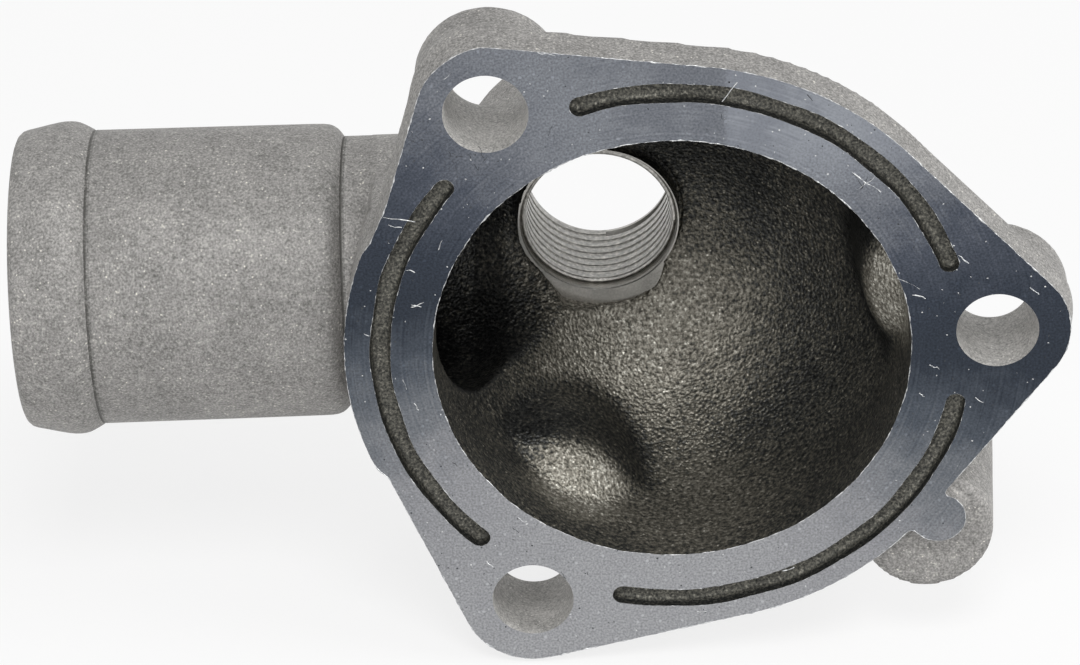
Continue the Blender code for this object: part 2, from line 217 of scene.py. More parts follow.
def inside_form(x, y, z):
    """The sand core: the space that the valve and the coolant fill."""
    widening = 0.2 * np.clip(1.0 - y / DOME_CENTRE, 0.0, 1.0)
    core = np.sqrt(x * x + z * z + np.maximum(y - DOME_CENTRE, 0.0) ** 2) - CAVITY_RADIUS - widening
    for bolt_x, bolt_z in bolt_places:
        bump = 0.8 * (np.hypot(x - bolt_x, z - bolt_z) - np.interp(y, NOSE_DEPTHS, NOSE_RADII))
        core = soft_max(core, -np.maximum(bump, NOSE_START - y), 0.7)
    along, across, out = neck_places(x, y, z)
    passage = np.hypot(out, np.minimum(along - PASSAGE_START, 0.0))
    core = soft_min(core, passage - np.interp(along, PASSAGE_PLACES, PASSAGE_RADII), 0.3)
    return soft_max(core, -np.maximum(port_post(x, z), PORT_FACE_DEPTH - 0.6 - y), 0.3)


def ripple(x, y, z, length, seed):
    """Slow waves, a few millimetres long, as a metal mould and a sand core leave them."""
    draw = np.random.default_rng(seed)
    total = np.zeros_like(x)
    for turn in range(7):
        way = draw.normal(size=3)
        way *= 2.0 * math.pi / (length * draw.uniform(0.6, 1.6) * np.linalg.norm(way))
        total += np.sin(x * way[0] + y * way[1] + z * way[2] + draw.uniform(0.0, 6.3))
    return total / 7.0


def raw_casting():
    """Samples both forms on a grid of voxels and skins what lies between them."""
    axes = [np.arange(low, high, VOXEL, dtype=np.float32) for low, high in zip(FIELD_START, FIELD_END)]
    x, y, z = np.meshgrid(*axes, indexing="ij")
    outside = outside_form(x, y, z) + 0.025 * ripple(x, y, z, 9.0, 4)
    inside = inside_form(x, y, z) + 0.12 * ripple(x, y, z, 6.0, 9)
    field = np.clip(soft_max(outside, -inside, 0.6), -FIELD_REACH, FIELD_REACH)
    grid = openvdb.FloatGrid(background=FIELD_REACH)
    grid.copyFromArray(field.astype(np.float32))
    points, quads = grid.convertToQuads(isovalue=0.0)
    points = (points * VOXEL + np.array(FIELD_START)) * MM
    mesh = bpy.data.meshes.new("housing_cast")
    mesh.from_pydata(points.tolist(), [], quads.tolist())
    mesh.update()
    made = bpy.data.objects.new("housing_cast", mesh)
    bpy.context.scene.collection.objects.link(made)
    return made


casting = raw_casting()

# 2. The crisp edges: milled face, bolt holes, relief grooves, sensor port and the neck's outside.
# The flange is milled flat, the holes are drilled and the port is spot-faced and bored for its thread.
# The neck and the grooves are cast against steel as crisp as a tool. A Boolean takes each cut away.
HOLE_RADIUS = 4.5
HOLE_WEAR = (0.0, 0.1, 0.04)
GROOVE_RADIUS = 32.05
GROOVE_WIDTH = 2.25
GROOVE_DEPTH = 1.6
GROOVE_HALF_TURN = math.radians(46.0)
FACER_RADIUS = 10.85
FACER_START = 26.0
PORT_BORE = [(28.0, 9.1), (31.3, 9.1), (31.4, 9.0), (43.7, 9.0), (44.0, 8.5), (48.0, 8.5)]
CREVICE_INNER, CREVICE_OUTER = 9.24, 9.95
CREVICE_START = 29.0
CREVICE_DEPTH = 0.7
ROOT_DIE_START, ROOT_DIE_END = 26.0, 36.2


def link_mesh(name, work):
    """Makes an object of a mesh in the making."""
    mesh = bpy.data.meshes.new(name)
    work.to_mesh(mesh)
    work.free()
    made = bpy.data.objects.new(name, mesh)
    bpy.context.scene.collection.objects.link(made)
    return made


def skin_rings(name, rings, looped=False):
    """Joins rings of points, each with as many points as the next, into one closed tool."""
    work = bmesh.new()
    rings = [[work.verts.new(Vector(point) * MM) for point in ring] for ring in rings]
    sides = len(rings[0])
    for ring, following in zip(rings, rings[1:] + rings[:1] if looped else rings[1:]):
        for i in range(sides):
            j = (i + 1) % sides
            work.faces.new((ring[i], ring[j], following[j], following[i]))
    if not looped:
        work.faces.new(rings[0])
        work.faces.new(rings[-1])
    bmesh.ops.recalc_face_normals(work, faces=work.faces)
    return link_mesh(name, work)


def turned_tool(name, place, profile, sides, wobble=0.0, looped=False):
    """A cutter turned round the Y axis, then placed. The profile lists (depth, radius) in millimetres."""
    rings = []
    for depth, radius in profile:
        ring = []
        for i in range(sides):
            angle = 2.0 * math.pi * i / sides
            grown = radius + wobble * math.sin(3.0 * angle + 1.1 * depth) * math.sin(7.0 * angle)
            ring.append(place @ Vector((grown * math.cos(angle), depth, grown * math.sin(angle))))
        rings.append(ring)
    return skin_rings(name, rings, looped)


def arc_tool(name, centre_x, centre_z, start, end, section):
    """A cutter along an arc. The section gives (radius, depth) points for an angle and a share of the way."""
    rings = []
    for i in range(91):
        share = math.sin(math.pi * (i / 90 - 0.5))
        angle = 0.5 * (start + end) + 0.5 * (end - start) * share
        rings.append([
            (centre_x + radius * math.cos(angle), depth, centre_z + radius * math.sin(angle))
            for radius, depth in section(angle, share)])
    return skin_rings(name, rings)


def milling_block():
    """What the face mill takes away: all that stands in front of the face."""
    corners = [(-100.0, -100.0), (100.0, -100.0), (100.0, 100.0), (-100.0, 100.0)]
    return skin_rings("milling_block", [[(x, y, z) for x, z in corners] for y in (-10.0, 0.0)])


def groove_tool(name, middle, seed):
    """A kidney-shaped cutter with round ends, whose sides waver by a tenth of a millimetre."""
    phases = np.random.default_rng(seed).uniform(0.0, 6.3, 4)

    def section(angle, share):
        end = (abs(share) - 1.0) * GROOVE_HALF_TURN * GROOVE_RADIUS + 0.5 * GROOVE_WIDTH
        half_width = 0.5 * GROOVE_WIDTH
        if end > 0.0:
            half_width = math.sqrt(max(half_width * half_width - end * end, 0.0004))
        half_width *= 1.0 + 0.04 * math.sin(23.0 * angle + phases[0])
        radius = GROOVE_RADIUS + 0.05 * math.sin(17.0 * angle + phases[1])
        floor = GROOVE_DEPTH + 0.15 * math.sin(13.0 * angle + phases[2])
        return [(radius + side * half_width, depth) for side, depth in (
            (-1.3, -2.0), (-1.0, 0.0), (-0.93, 0.8 * floor), (-0.6, floor),
            (0.6, floor), (0.93, 0.8 * floor), (1.0, 0.0), (1.3, -2.0))]

    return arc_tool(name, 0.0, 0.0, middle - GROOVE_HALF_TURN, middle + GROOVE_HALF_TURN, section)


def facer_tool():
    """The sweep of the spot-facer. It stops short at the left, where the passage begins."""
    right_share, up_share, reach = FOOT_LEFT
    outline = []
    for i in range(120):
        angle = 2.0 * math.pi * i / 120
        to_passage = reach / max(right_share * math.cos(angle) + up_share * math.sin(angle), 0.01)
        radius = min(max(to_passage, POST_RADIUS + 0.05), FACER_RADIUS)
        outline.append((PORT_X + radius * math.cos(angle), PORT_Z + radius * math.sin(angle)))
    return skin_rings("spot_facer", [[(x, depth, z) for x, z in outline] for depth in (FACER_START, PORT_FACE_DEPTH)])


def crevice_tool():
    """The thin dark crevice that the core left outside the port's lip, where the dome falls away."""
    bottom = CREVICE_OUTER - 0.15

    def section(angle, share):
        from_axis = math.hypot(PORT_X + bottom * math.cos(angle), PORT_Z + bottom * math.sin(angle))
        dome = DOME_CENTRE + math.sqrt(CAVITY_RADIUS ** 2 - from_axis ** 2)
        floor = max(dome + CREVICE_DEPTH * math.sqrt(max(1.0 - share * share, 0.0)), PORT_FACE_DEPTH + 0.1)
        return [(CREVICE_INNER, CREVICE_START), (CREVICE_INNER, floor), (bottom, floor - 0.1),
                (CREVICE_OUTER, CREVICE_START)]

    return arc_tool("crevice", PORT_X, PORT_Z, math.radians(-36.0), math.radians(84.0), section)


def cut(target, tool):
    """Takes the tool's shape away from the target and throws the tool away."""
    step = target.modifiers.new("cut", "BOOLEAN")
    step.operation = "DIFFERENCE"
    step.solver = "MANIFOLD"
    step.object = tool
    bpy.context.view_layer.update()
    done = bpy.data.meshes.new_from_object(target.evaluated_get(bpy.context.evaluated_depsgraph_get()))
    target.modifiers.clear()
    target.data = done
    bpy.data.objects.remove(tool, do_unlink=True)


cut(casting, milling_block())
neck_axis = Matrix.Translation((0.0, NECK_DEPTH, 0.0)) @ Matrix.Rotation(-NECK_DROOP, 4, "Y")
neck_axis = neck_axis @ Matrix.Rotation(math.radians(90.0), 4, "Z")
neck_wall = NECK_PROFILE[:0:-1] + [(36.1, 26.0), (80.0, 26.0)]
cut(casting, turned_tool("neck_die", neck_axis, neck_wall, 160))
root_wall = [
    (ROOT_DIE_START, ROOT_RADIUS - 0.05), (ROOT_DIE_END, ROOT_RADIUS - 0.05),
    (ROOT_DIE_END, 19.0), (ROOT_DIE_START, 19.0)]
root_die = turned_tool("root_die", neck_axis, root_wall, 160, looped=True)
cut(root_die, turned_tool("pad_arc", Matrix(), [(-8.0, PAD_RADIUS), (60.0, PAD_RADIUS)], 240))
cut(casting, root_die)
for i, (bolt_x, bolt_z) in enumerate(bolt_places):
    worn = HOLE_RADIUS + 0.03 + HOLE_WEAR[i]
    drill = [
        (-3.0, worn), (0.0, worn), (0.3, HOLE_RADIUS + 0.4 * HOLE_WEAR[i]), (0.9, HOLE_RADIUS), (14.0, HOLE_RADIUS)]
    cut(casting, turned_tool(f"drill_{i}", Matrix.Translation((bolt_x, 0.0, bolt_z)), drill, 72, 0.015))
    cut(casting, groove_tool(f"groove_{i}", bolt_angles[i] + math.radians(60.0), 20 + i))
cut(casting, facer_tool())
cut(casting, turned_tool("port_drill", Matrix.Translation((PORT_X, 0.0, PORT_Z)), PORT_BORE, 120))
cut(casting, crevice_tool())

# 3. The finishes of the one casting.
# Blasted skin outside, the darker sand-core skin inside, the milled face, the bored port and the floors
# of the grooves. Each is the same alloy, and the tool or the mould that touched it differs. A lighter copy of
# the blasted skin on the bolt holes' walls is painted light, and several colours hold painted light and shade.
BLASTED, CORED, FACED, BORED, GROOVED, HOLE_LIT = range(6)
BLASTED_SHADES = ("5c5b58", "7d7c79", "949290", "adaba7", "e6e2d8")
# The bolt holes' walls get a lighter copy of the blasted skin: painted light against the shade inside the holes.
HOLE_LIT_SHADES = ("7c7b79", "a1a09d", "b9b7b4", "d0cecb", "f2f0ea")
FLAT = 0.02


def linear(hex_colour):
    """An sRGB hex colour as the linear RGBA that the shader wants."""
    parts = [int(hex_colour[i:i + 2], 16) / 255.0 for i in (0, 2, 4)]
    return [p / 12.92 if p <= 0.04045 else ((p + 0.055) / 1.055) ** 2.4 for p in parts] + [1.0]


def add_node(tree, kind, settings):
    """Adds a node. Each setting goes to an input, by name or number, or to a property. An input takes a
    value, an output to link, or a node whose first output is linked. The stops are a ramp's colours."""
    node = tree.nodes.new(kind)
    for key, value in settings.items():
        if isinstance(value, bpy.types.Node):
            value = value.outputs[0]
        if isinstance(value, bpy.types.NodeSocket):
            tree.links.new(value, node.inputs[key])
        elif isinstance(key, int) or key in node.inputs:
            node.inputs[key].default_value = value
        elif key == "stops":
            while len(node.color_ramp.elements) < len(value):
                node.color_ramp.elements.new(0.5)
            for stop, (position, hex_colour) in zip(node.color_ramp.elements, value):
                stop.position = position
                stop.color = linear(hex_colour)
        else:
            setattr(node, key, value)
    return node


def new_material(name):
    """An empty material, its node tree and the piece's own coordinates."""
    made = bpy.data.materials.new(name)
    made.use_nodes = True
    tree = made.node_tree
    tree.nodes.clear()
    return made, tree, add_node(tree, "ShaderNodeTexCoord", {}).outputs["Object"]


def end_material(made, settings):
    """Ends a material with its shader. Each metal here keeps the default IOR."""
    shader = add_node(made.node_tree, "ShaderNodeBsdfPrincipled", settings)
    add_node(made.node_tree, "ShaderNodeOutputMaterial", {"Surface": shader})
    return made


def per_mm(size):
    """Texture scale that gives a pattern this many millimetres across."""
    return 1.0 / (size * MM)


def painted_glints(tree, place, size, rarity):
    """Painted glints: single grains painted lighter, as small round points, one grain in many."""
    cells = add_node(tree, "ShaderNodeTexVoronoi", {"Vector": place, "Scale": per_mm(size)})
    draw = add_node(tree, "ShaderNodeSeparateXYZ", {"Vector": cells.outputs["Color"]})
    chosen = add_node(tree, "ShaderNodeMath", {"operation": "GREATER_THAN", 0: draw, 1: 1.0 - rarity})
    point = add_node(tree, "ShaderNodeMapRange", {
        "Value": cells, "From Min": 0.15, "From Max": 0.45, "To Min": 1.0, "To Max": 0.0})
    return add_node(tree, "ShaderNodeMath", {"operation": "MULTIPLY", 0: chosen, 1: point})


def blasted_skin(name, shades):
    """Shot-blasted cast aluminium. Shot about 0.2 mm across leaves even grey dimples, and a few grains carry a painted
    glint.
    The creases at the neck's root and behind its bead are painted darker: painted shade."""
    made, tree, place = new_material(name)
    # The dimples and the painted glints are drawn about 0.3 mm across, or they wouldn't show.
    dimples = add_node(tree, "ShaderNodeTexNoise", {
        "Vector": place, "Scale": per_mm(0.26), "Detail": 2.0, "Roughness": 0.6})
    pits = add_node(tree, "ShaderNodeTexNoise", {"Vector": place, "Scale": per_mm(0.9), "Detail": 2.0})
    clouds = add_node(tree, "ShaderNodeTexNoise", {"Vector": place, "Scale": per_mm(5.0), "Detail": 4.0})
    layers = [(dimples, 0.9), (pits, 0.25), (clouds, 0.22), (painted_glints(tree, place, 0.3, 0.06), 0.25)]
    on_axis = add_node(tree, "ShaderNodeMapping", {"Vector": place, "Rotation": (0.0, NECK_DROOP, 0.0)})
    along = add_node(tree, "ShaderNodeSeparateXYZ", {"Vector": on_axis})
    # Painted shade in two creases of the neck, at its root and behind its bead: the place along its axis, the width
    # and the share.
    for corner, width, crease_shade in ((-36.25, 0.5, -0.34), (-64.5, 0.6, -0.24)):
        near = add_node(tree, "ShaderNodeMath", {
            "operation": "COMPARE", 0: along, 1: corner * MM, 2: 0.25 * width * MM})
        wide = add_node(tree, "ShaderNodeMath", {
            "operation": "COMPARE", 0: along, 1: (corner + 0.12) * MM, 2: 0.5 * width * MM})
        layers += [(near, 0.6 * crease_shade), (wide, 0.4 * crease_shade)]
    value = -0.05
    for layer, share in layers:
        value = add_node(tree, "ShaderNodeMath", {"operation": "MULTIPLY_ADD", 0: layer, 1: share, 2: value})
    colour = add_node(tree, "ShaderNodeValToRGB", {
        "Fac": value, "stops": list(zip((0.36, 0.52, 0.65, 0.80, 0.95), shades))})
    relief = add_node(tree, "ShaderNodeMath", {"operation": "MULTIPLY_ADD", 0: pits, 1: 0.8, 2: dimples})
    bump = add_node(tree, "ShaderNodeBump", {"Height": relief, "Strength": 1.0, "Distance": 0.07 * MM})
    return end_material(made, {"Base Color": colour, "Normal": bump, "Metallic": 0.45, "Roughness": 0.65})


# Painted light and shade in the cavity: a painted highlight where the share is positive, painted shade where it is
# negative:
# the middle, the radius that has it all, the radius where it ends, and the share.
PAINTED_LIGHT_AND_SHADE = [
    ((-4.5, 29.0, -10.5), 7.0, 22.0, 0.29), ((3.0, 9.0, -26.0), 5.0, 15.0, 0.18),
    ((24.5, 9.5, 2.0), 3.0, 8.0, 0.40), ((-10.5, 9.0, -22.5), 3.0, 8.0, 0.32),
    ((4.0, 34.0, 2.0), 6.0, 12.0, -0.10), ((-28.2, 25.0, -14.0), 3.9, 4.6, -0.12),
    ((-18.5, 26.0, -11.0), 3.0, 8.0, -0.16)]


def core_skin():
    """Aluminium cast against a sand core. Grains of 0.3 mm print through. Painted shade darkens the passage,
    the pockets' walls, the dome's pole and a spot at the neck's mouth, and a painted highlight lightens the
    dome's middle, the cavity's bottom near the rim and the noses."""
    made, tree, place = new_material("sand_cast_aluminium")
    # The grains are drawn 0.4 mm across, or they wouldn't show.
    grains = add_node(tree, "ShaderNodeTexNoise", {
        "Vector": place, "Scale": per_mm(0.42), "Detail": 2.0, "Roughness": 0.55})
    clouds = add_node(tree, "ShaderNodeTexNoise", {"Vector": place, "Scale": per_mm(6.0), "Detail": 3.0})
    layers = [(grains, 1.1), (clouds, 0.2), (painted_glints(tree, place, 0.36, 0.10), 0.30)]
    for middle, inner, outer, share in PAINTED_LIGHT_AND_SHADE:
        away = add_node(tree, "ShaderNodeVectorMath", {
            "operation": "DISTANCE", 0: place, 1: [part * MM for part in middle]})
        near = add_node(tree, "ShaderNodeMapRange", {
            "interpolation_type": "SMOOTHSTEP", "Value": away.outputs["Value"], "From Min": inner * MM,
            "From Max": outer * MM, "To Min": 1.0, "To Max": 0.0})
        layers.append((near, share))

    # The neck's passage, inside its own radius and beyond the dome's middle, painted darker: painted shade.
    on_axis = add_node(tree, "ShaderNodeMapping", {
        "Vector": place, "Location": (0.0, -NECK_DEPTH * MM, 0.0), "Rotation": (0.0, NECK_DROOP, 0.0)})
    across = add_node(tree, "ShaderNodeVectorMath", {"operation": "MULTIPLY", 0: on_axis, 1: (0.0, 1.0, 1.0)})
    out = add_node(tree, "ShaderNodeVectorMath", {"operation": "LENGTH", 0: across})
    along = add_node(tree, "ShaderNodeSeparateXYZ", {"Vector": on_axis})
    flare = add_node(tree, "ShaderNodeMapRange", {
        "Value": along, "From Min": -PASSAGE_PLACES[0] * MM, "From Max": -PASSAGE_PLACES[1] * MM,
        "To Max": (PASSAGE_RADII[0] - PASSAGE_RADII[1]) * MM})
    narrowed = add_node(tree, "ShaderNodeMath", {"operation": "ADD", 0: out.outputs["Value"], 1: flare})
    within = add_node(tree, "ShaderNodeMapRange", {
        "Value": narrowed, "From Min": (PASSAGE_RADII[0] + 0.5) * MM, "From Max": (PASSAGE_RADII[0] + 0.2) * MM})
    beyond = add_node(tree, "ShaderNodeMapRange", {"Value": along, "From Min": -9.0 * MM, "From Max": -13.0 * MM})
    passage = add_node(tree, "ShaderNodeMath", {"operation": "MULTIPLY", 0: within, 1: beyond})
    layers.append((passage, -0.11))

    # The walls of two pockets, behind their noses, painted darker: painted shade.
    depth = add_node(tree, "ShaderNodeSeparateXYZ", {"Vector": place}).outputs["Y"]
    behind_nose = add_node(tree, "ShaderNodeMapRange", {"Value": depth, "From Min": 11.5 * MM, "From Max": 13.5 * MM})
    for (bolt_x, bolt_z), pocket_shade in ((bolt_places[0], -0.22), (bolt_places[2], -0.15)):
        aside = add_node(tree, "ShaderNodeMapping", {
            "Vector": place, "Location": (-bolt_x * MM, 0.0, -bolt_z * MM), "Scale": (1.0, 0.0, 1.0)})
        away = add_node(tree, "ShaderNodeVectorMath", {"operation": "LENGTH", 0: aside})
        near = add_node(tree, "ShaderNodeMapRange", {
            "Value": away.outputs["Value"], "From Min": 16.4 * MM, "From Max": 15.3 * MM})
        wall = add_node(tree, "ShaderNodeMath", {"operation": "MULTIPLY", 0: near, 1: behind_nose})
        layers.append((wall, pocket_shade))
    value = -0.30
    for layer, share in layers:
        value = add_node(tree, "ShaderNodeMath", {"operation": "MULTIPLY_ADD", 0: layer, 1: share, 2: value})
    colour = add_node(tree, "ShaderNodeValToRGB", {"Fac": value, "stops": [
        (0.05, "141515"), (0.2, "292a2a"), (0.35, "42423f"), (0.5, "646158"), (0.65, "878379"), (0.8, "aaa79d"),
        (0.95, "e6e3d8")]})
    pebbles = add_node(tree, "ShaderNodeTexVoronoi", {"Vector": place, "Scale": per_mm(0.38)})
    relief = add_node(tree, "ShaderNodeMath", {"operation": "MULTIPLY", 0: grains, 1: 0.6})
    relief = add_node(tree, "ShaderNodeMath", {"operation": "MULTIPLY_ADD", 0: pebbles, 1: -0.45, 2: relief})
    bump = add_node(tree, "ShaderNodeBump", {"Height": relief, "Strength": 1.0, "Distance": 0.24 * MM})
    return end_material(made, {"Base Color": colour, "Normal": bump, "Metallic": 0.6, "Roughness": 0.42})


def groove_floor():
    """The grooves' cast floors and walls. Grit in the mould leaves the floors coarse and a lighter olive-grey, and the
    walls near the face are painted darker: painted shade.
    """
    made, tree, place = new_material("gritty_cast_aluminium")
    grains = add_node(tree, "ShaderNodeTexNoise", {
        "Vector": place, "Scale": per_mm(0.3), "Detail": 2.0, "Roughness": 0.6})
    parts = add_node(tree, "ShaderNodeSeparateXYZ", {"Vector": place})
    # Painted shade on the groove walls near the face.
    wall_shade = add_node(tree, "ShaderNodeMapRange", {
        "Value": parts.outputs["Y"], "From Min": 1.2 * MM, "From Max": 0.8 * MM})
    value = add_node(tree, "ShaderNodeMath", {"operation": "MULTIPLY_ADD", 0: wall_shade, 1: -0.22, 2: grains})
    colour = add_node(tree, "ShaderNodeValToRGB", {"Fac": value, "stops": [
        (0.2, "1f2020"), (0.35, "3a3a37"), (0.5, "5c5b55"), (0.62, "78766d"), (0.75, "a8a59a")]})
    bump = add_node(tree, "ShaderNodeBump", {"Height": grains, "Strength": 0.9, "Distance": 0.1 * MM})
    return end_material(made, {"Base Color": colour, "Normal": bump, "Metallic": 0.6, "Roughness": 0.5})


def milled_face():
    """Faced aluminium. The sheen of the tool's fine rings round the bore is a painted reflection: lighter above
    and below the bore, duller and bluer at either side. The face is lighter right of the top, and smears and
    scuffs a few millimetres long cross it."""
    made, tree, place = new_material("faced_aluminium")
    # Painted reflection: the direction round the bore picks the tone from the ramp below.
    reflection_fan = add_node(tree, "ShaderNodeMapping", {
        "Vector": place, "Location": (0.0, 0.0, -2.2 * MM), "Rotation": (0.0, math.radians(-6.5), 0.0),
        "Scale": (1.0, 0.0, 1.0)})
    reflection_fan = add_node(tree, "ShaderNodeVectorMath", {"operation": "NORMALIZE", 0: reflection_fan})
    reflection_fan = add_node(tree, "ShaderNodeSeparateXYZ", {"Vector": reflection_fan})
    level = add_node(tree, "ShaderNodeMapRange", {
        "Value": reflection_fan.outputs["Z"], "From Min": -1.0, "From Max": 1.0, "To Min": -0.18, "To Max": 0.82})
    flat = add_node(tree, "ShaderNodeVectorMath", {"operation": "MULTIPLY", 0: place, 1: (1.0, 0.0, 1.0)})
    from_middle = add_node(tree, "ShaderNodeVectorMath", {"operation": "LENGTH", 0: flat})
    # The feed rings are drawn 0.3 mm apart, about twice the real ones, or they wouldn't show.
    rings = add_node(tree, "ShaderNodeTexNoise", {
        "noise_dimensions": "1D", "W": from_middle.outputs["Value"], "Scale": per_mm(0.3), "Detail": 2.0})
    specks = add_node(tree, "ShaderNodeTexNoise", {"Vector": place, "Scale": per_mm(0.25), "Detail": 2.0})
    smears = add_node(tree, "ShaderNodeTexNoise", {
        "Vector": place, "Scale": per_mm(4.0), "Detail": 7.0, "Roughness": 0.7})
    for layer, share in ((smears, 0.26), (rings, 0.10)):
        level = add_node(tree, "ShaderNodeMath", {"operation": "MULTIPLY_ADD", 0: layer, 1: share, 2: level})
    colour = add_node(tree, "ShaderNodeValToRGB", {"Fac": level, "stops": [
        (0.0, "babbbe"), (0.15, "acadb1"), (0.27, "888c92"), (0.38, "5e656f"), (0.5, "3b424d"),
        (0.62, "404753"), (0.74, "5b616d"), (0.86, "868a92"), (0.95, "969aa1"), (1.0, "83878f")]})
    parts = add_node(tree, "ShaderNodeSeparateXYZ", {"Vector": place})
    right_of = add_node(tree, "ShaderNodeMapRange", {"Value": parts, "From Min": 5.2 * MM, "From Max": 5.9 * MM})
    upper = add_node(tree, "ShaderNodeMapRange", {
        "Value": parts.outputs["Z"], "From Min": 20.0 * MM, "From Max": 27.0 * MM})
    lighter_top_right = add_node(tree, "ShaderNodeMath", {"operation": "MULTIPLY", 0: right_of, 1: upper})
    dust_and_glints = specks
    for layer, share in ((painted_glints(tree, place, 0.5, 0.04), 0.5), (lighter_top_right, 0.30)):
        dust_and_glints = add_node(tree, "ShaderNodeMath", {"operation": "MULTIPLY_ADD", 0: layer, 1: share, 2: dust_and_glints})
    grain = add_node(tree, "ShaderNodeValToRGB", {"Fac": dust_and_glints, "stops": [
        (0.3, "b8b8b8"), (0.5, "d8d8d8"), (0.7, "f2f2f2"), (0.9, "ffffff")]})
    lit = add_node(tree, "ShaderNodeMix", {"data_type": "RGBA", "blend_type": "MULTIPLY", 0: 1.0, 6: colour, 7: grain})
    bump = add_node(tree, "ShaderNodeBump", {"Height": specks, "Strength": 0.3, "Distance": 0.02 * MM})
    return end_material(made, {"Base Color": lit.outputs[2], "Normal": bump, "Metallic": 0.8, "Roughness": 0.42})


def bored_wall():
    """Drilled and bored aluminium. Fine rings from the tool catch the light."""
    made, tree, place = new_material("bored_aluminium")
    # The rings are drawn 0.4 mm apart, or they wouldn't show.
    stretched = add_node(tree, "ShaderNodeMapping", {
        "Vector": place, "Scale": (per_mm(6.0), per_mm(0.4), per_mm(6.0))})
    rings = add_node(tree, "ShaderNodeTexNoise", {"Vector": stretched, "Scale": 1.0, "Detail": 3.0})
    specks = add_node(tree, "ShaderNodeTexNoise", {"Vector": place, "Scale": per_mm(0.25), "Detail": 2.0})
    value = add_node(tree, "ShaderNodeMath", {"operation": "MULTIPLY", 0: rings, 1: 0.7})
    value = add_node(tree, "ShaderNodeMath", {"operation": "MULTIPLY_ADD", 0: specks, 1: 0.3, 2: value})
    colour = add_node(tree, "ShaderNodeValToRGB", {
        "Fac": value, "stops": [(0.3, "888783"), (0.5, "aaa8a3"), (0.7, "ccc9c4")]})
    bump = add_node(tree, "ShaderNodeBump", {"Height": value, "Strength": 0.3, "Distance": 0.03 * MM})
    return end_material(made, {"Base Color": colour, "Normal": bump, "Metallic": 0.8, "Roughness": 0.32})


def finish_casting():
    """Gives each face the finish of the tool or mould wall that made it, the bolt holes' walls a lighter copy with
    painted light, and marks machined edges.
    """
    mesh = casting.data
    mesh.materials.clear()
    for made in (
            blasted_skin("blasted_cast_aluminium", BLASTED_SHADES), core_skin(), milled_face(), bored_wall(),
            groove_floor(), blasted_skin("hole_lit_cast_aluminium", HOLE_LIT_SHADES)):
        mesh.materials.append(made)
    count = len(mesh.polygons)
    centres = np.empty(count * 3)
    normals = np.empty(count * 3)
    mesh.polygons.foreach_get("center", centres)
    mesh.polygons.foreach_get("normal", normals)
    x, y, z = (centres.reshape(-1, 3) / MM).T
    faces_front = normals.reshape(-1, 3)[:, 1] < -0.99
    milled = (y < FLAT) & faces_front
    spot_face = (np.abs(y - PORT_FACE_DEPTH) < FLAT) & faces_front & (port_post(x, z) < 0.1)
    from_port = np.hypot(x - PORT_X, z - PORT_Z)
    bore = (np.abs(from_port - np.interp(y, *zip(*PORT_BORE))) < 0.05) & (y > PORT_FACE_DEPTH)
    finish = np.full(count, BLASTED, np.int32)
    finish[np.abs(inside_form(x, y, z)) < np.abs(outside_form(x, y, z))] = CORED
    finish[(np.abs(np.hypot(x, z) - GROOVE_RADIUS) < 1.4) & (y < 2.0)] = GROOVED
    finish[milled] = FACED
    finish[spot_face | bore] = BORED
    for bolt_x, bolt_z in bolt_places:
        # The bolt holes' walls take the lighter copy, painted light.
        finish[(np.hypot(x - bolt_x, z - bolt_z) < HOLE_RADIUS + 0.4) & ~milled] = HOLE_LIT
    mesh.polygons.foreach_set("material_index", finish)
    mesh.shade_smooth()
    work = bmesh.new()
    work.from_mesh(mesh)
    for edge in work.edges:
        machined = any(face.material_index in (FACED, BORED) for face in edge.link_faces)
        on_neck = min(v.co.x for v in edge.verts) < -36.0 * MM
        if (machined or on_neck) and edge.calc_face_angle(0.0) > math.radians(35.0):
            edge.smooth = False
    work.to_mesh(mesh)
    work.free()


finish_casting()
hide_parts("housing_casting")
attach(casting, "root")

# 4. The sensor thread, M18 x 1.5, tapped in the port.
# A tap cuts it in the same metal, so it is bright where the crests are sharp. Its turns follow one
# rising spiral with a blunt V section, which Geometry Nodes sweeps round the port's bore.
THREAD_PITCH = 1.5
THREAD_START = 31.95
THREAD_END = 43.6
THREAD_MINOR = 8.5
THREAD_MIDDLE = 8.79


def new_tree(name, sizes):
    """An empty node tree with one input for geometry and a named number for each size."""
    tree = bpy.data.node_groups.new(name, "GeometryNodeTree")
    tree.interface.new_socket("Geometry", in_out="INPUT", socket_type="NodeSocketGeometry")
    for label in sizes:
        tree.interface.new_socket(label, in_out="INPUT", socket_type="NodeSocketFloat")
    tree.interface.new_socket("Geometry", in_out="OUTPUT", socket_type="NodeSocketGeometry")
    return tree, add_node(tree, "NodeGroupInput", {}).outputs


def finish_tree(tree, geometry, material):
    """Ends a tree: every instance made real, in one material."""
    real = add_node(tree, "GeometryNodeRealizeInstances", {"Geometry": geometry})
    painted = add_node(tree, "GeometryNodeSetMaterial", {"Geometry": real, "Material": material})
    add_node(tree, "NodeGroupOutput", {0: painted})


def made_by(tree, name, base, sizes):
    """Runs the tree on a base mesh and keeps the result as a plain mesh."""
    made = bpy.data.objects.new(name, base)
    bpy.context.scene.collection.objects.link(made)
    step = made.modifiers.new("made_by_nodes", "NODES")
    step.node_group = tree
    for socket in tree.interface.items_tree:
        if socket.in_out == "INPUT" and socket.name in sizes:
            step[socket.identifier] = sizes[socket.name]
    bpy.context.view_layer.update()
    done = bpy.data.meshes.new_from_object(made.evaluated_get(bpy.context.evaluated_depsgraph_get()))
    made.modifiers.clear()
    made.data = done
    return made


